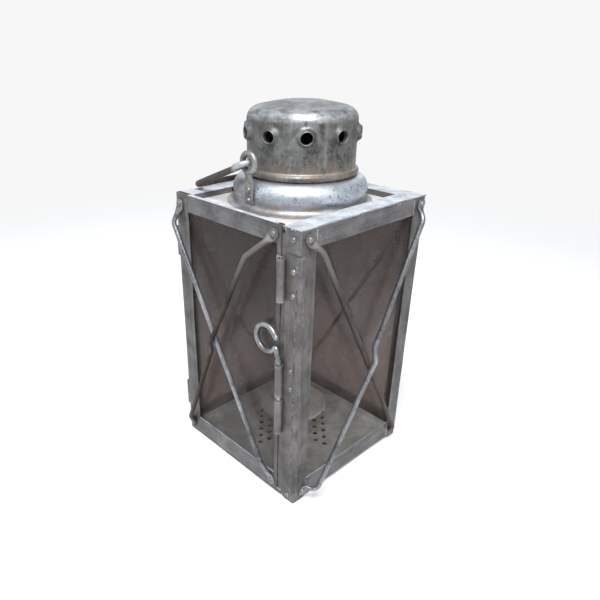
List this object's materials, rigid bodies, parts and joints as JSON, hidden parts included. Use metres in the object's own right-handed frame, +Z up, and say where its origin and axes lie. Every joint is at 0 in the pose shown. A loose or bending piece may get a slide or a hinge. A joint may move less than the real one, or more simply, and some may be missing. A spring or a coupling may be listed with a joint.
{
  "type": "candle lantern",
  "caption": "Square candle lantern with a latched glass door, crossed wire guards, a vented chimney and a swinging bail handle.",
  "frame": {"origin": "centre of the base, level with the posts' feet", "axes": "+Z up, the door faces -Y, +X towards the latch side"},
  "size_m": [0.1656, 0.1656, 0.3025],
  "materials": {
    "frame_zinc": "matt galvanised sheet, scratched, with vertical streaks",
    "roof_zinc": "matt galvanised sheet with a tan film",
    "floor_metal": "dull galvanised sheet with brown stains",
    "dish_metal": "dull tinned sheet with a worn rim",
    "cap_zinc": "spun galvanised sheet, mottled dark",
    "collar_zinc": "spun galvanised sheet, satin, with small dark pits",
    "ear_metal": "worn galvanised steel",
    "dark_wire": "steel wire with a dark brown patina",
    "bright_wire": "galvanised wire, satin",
    "bail_wire": "steel wire with a dark grey-brown patina",
    "rivets": "worn rivet heads",
    "tube_zinc": "rolled galvanised sheet",
    "hinge_metal": "matt galvanised sheet",
    "hinge_pin_metal": "dark steel",
    "smoked_glass": "clear glass with a brown-grey smoke film"
  },
  "bodies": {
    "frame": {"post_latch": "frame_zinc", "post_hinge": "frame_zinc", "post_back_right": "frame_zinc", "post_back_left": "frame_zinc", "rail_top_right": "frame_zinc", "rail_top_back": "frame_zinc", "rail_top_left": "frame_zinc", "rail_bottom_right": "frame_zinc", "rail_bottom_back": "frame_zinc", "rail_bottom_left": "frame_zinc", "front_sill": "frame_zinc", "door_stop": "frame_zinc", "roof_plate": "roof_zinc", "floor_plate": "floor_metal", "collar": "collar_zinc", "vent_cap": "cap_zinc", "ear_front": "ear_metal", "ear_back": "ear_metal", "ear_rivets": "rivets", "pane_right": "smoked_glass", "pane_back": "smoked_glass", "pane_left": "smoked_glass", "candle_stem": "dish_metal", "drip_dish": "dish_metal", "candle_socket": "dish_metal", "guard_right_under": "dark_wire", "guard_right_over": "bright_wire", "guard_back_under": "dark_wire", "guard_back_over": "bright_wire", "guard_left_under": "dark_wire", "guard_left_over": "bright_wire", "guard_rivets": "rivets", "post_rivets": "rivets", "keeper_tube": "tube_zinc", "hinge_leaves_frame": "hinge_metal", "hinge_pins": "hinge_pin_metal"},
    "door": {"door_stile_hinge": "frame_zinc", "door_stile_latch": "frame_zinc", "door_rail_top": "frame_zinc", "door_rail_bottom": "frame_zinc", "door_pane": "smoked_glass", "door_guard_under": "bright_wire", "door_guard_over": "dark_wire", "door_guard_rivets": "rivets", "guide_tube_upper": "tube_zinc", "guide_tube_middle": "tube_zinc", "hinge_leaves_door": "hinge_metal"},
    "latch_pin": {"latch_pin": "bright_wire"},
    "bail": {"bail": "bail_wire"}
  },
  "joints": [
    {"name": "door_hinge", "type": "hinge", "parent": "frame", "child": "door", "pos_m": [-0.0721, -0.0679, 0.115], "axis": [0, 0, -1], "range_deg": [0, 110]},
    {"name": "latch_slide", "type": "slide", "parent": "door", "child": "latch_pin", "axis": [0, 0, 1], "range_m": [0, 0.027]},
    {"name": "bail_pivot", "type": "hinge", "parent": "frame", "child": "bail", "pos_m": [0, 0, 0.263], "axis": [0, 1, 0], "range_deg": [0, 222]}
  ]
}
